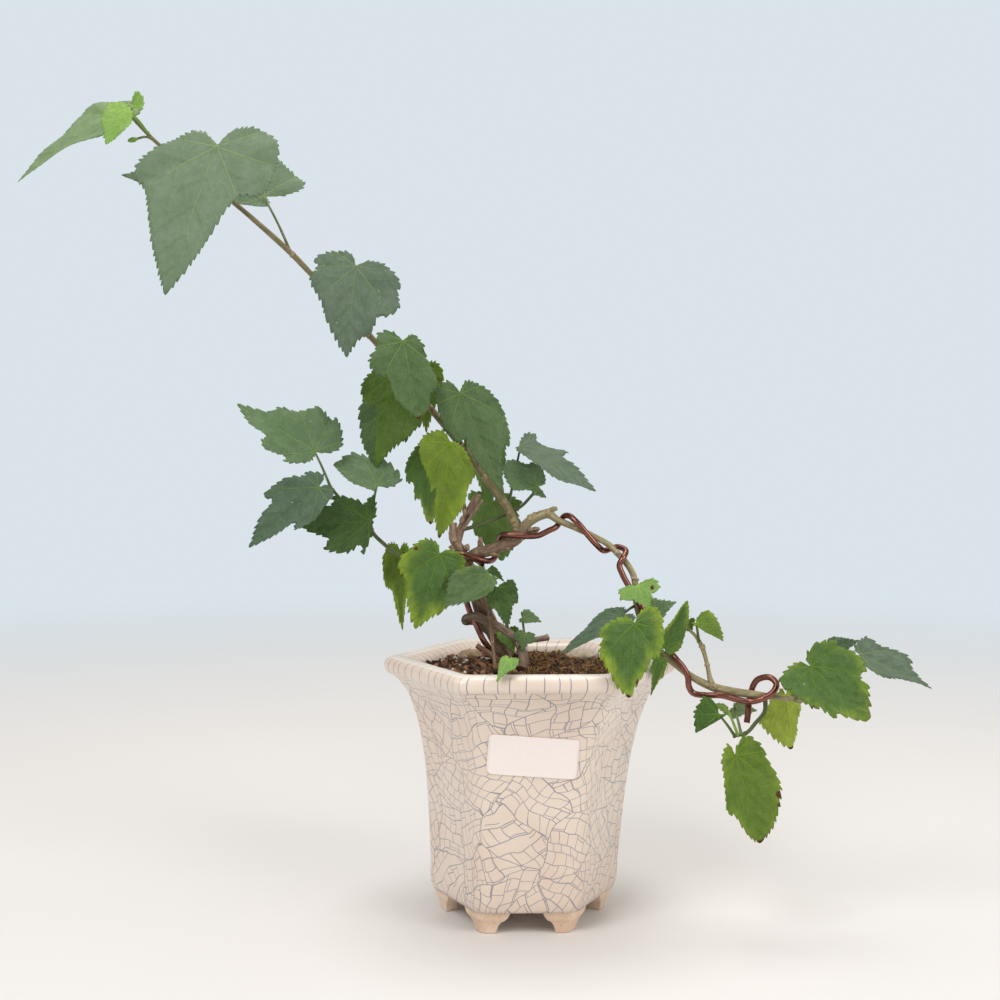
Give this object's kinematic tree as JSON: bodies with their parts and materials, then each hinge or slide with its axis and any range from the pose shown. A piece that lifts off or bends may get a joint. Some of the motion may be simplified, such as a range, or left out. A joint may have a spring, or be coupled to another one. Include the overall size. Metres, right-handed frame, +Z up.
{
  "type": "flowering maple bonsai in a pot",
  "caption": "Flowering maple trained with wire as a cascading bonsai, in a crackle-glazed six-sided footed pot.",
  "frame": {"origin": "middle of the bounding box, on the surface that the pot stands on", "axes": "+Z up; the front of the pot with the label faces -Y; the long shoot leans to -X"},
  "size_m": [0.4462, 0.1374, 0.4143],
  "materials": {
    "pot_glaze": "glossy cream glaze with fine grey crackle",
    "label_paper": "blank white label",
    "soil": "crumbly potting soil",
    "stone": "rough pebble",
    "bark": "rough brown bark",
    "green_bark": "young green-brown bark",
    "olive_bark": "smooth olive-brown bark",
    "wire": "copper-brown anodised training wire",
    "leaf": "matte toothed leaf, grey-green to yellow-green"
  },
  "bodies": {
    "root": {"cascade": "olive_bark", "cut_twig": "bark", "leader": "green_bark", "leaf_bend_broad": "leaf", "leaf_bend_dark": "leaf", "leaf_bend_folded": "leaf", "leaf_bend_grey": "leaf", "leaf_bend_narrow": "leaf", "leaf_bend_small": "leaf", "leaf_crown_lime": "leaf", "leaf_crown_long": "leaf", "leaf_end_broad": "leaf", "leaf_end_hanging": "leaf", "leaf_end_pointed": "leaf", "leaf_end_shade": "leaf", "leaf_fork_behind": "leaf", "leaf_fork_broad": "leaf", "leaf_fork_green": "leaf", "leaf_fork_low": "leaf", "leaf_fork_right": "leaf", "leaf_fork_yellow": "leaf", "leaf_hanging_broad": "leaf", "leaf_hanging_deep": "leaf", "leaf_hanging_grey": "leaf", "leaf_hanging_lime": "leaf", "leaf_leader_behind": "leaf", "leaf_leader_broad": "leaf", "leaf_leader_dark": "leaf", "leaf_leader_far": "leaf", "leaf_leader_olive": "leaf", "leaf_leader_shade": "leaf", "leaf_leader_upper": "leaf", "leaf_left_deep": "leaf", "leaf_left_hanging": "leaf", "leaf_left_high": "leaf", "leaf_left_level": "leaf", "leaf_left_low": "leaf", "leaf_rim_leaf": "leaf", "leaf_rising_bud": "leaf", "leaf_rising_leaf": "leaf", "leaf_root_drop": "leaf", "leaf_root_level": "leaf", "leaf_root_round": "leaf", "leaf_stick_leaf": "leaf", "leaf_stick_small": "leaf", "leaf_trunk_curl": "leaf", "leaf_trunk_front": "leaf", "leaf_trunk_gold": "leaf", "leaf_twig_grey": "leaf", "left_twig": "green_bark", "pot": "pot_glaze", "pot_label": "label_paper", "soil": "soil", "stick": "bark", "stone_pale": "stone", "stone_tan": "stone", "training_wire": "wire", "trunk": "bark", "wire_end": "wire"}
  },
  "joints": []
}
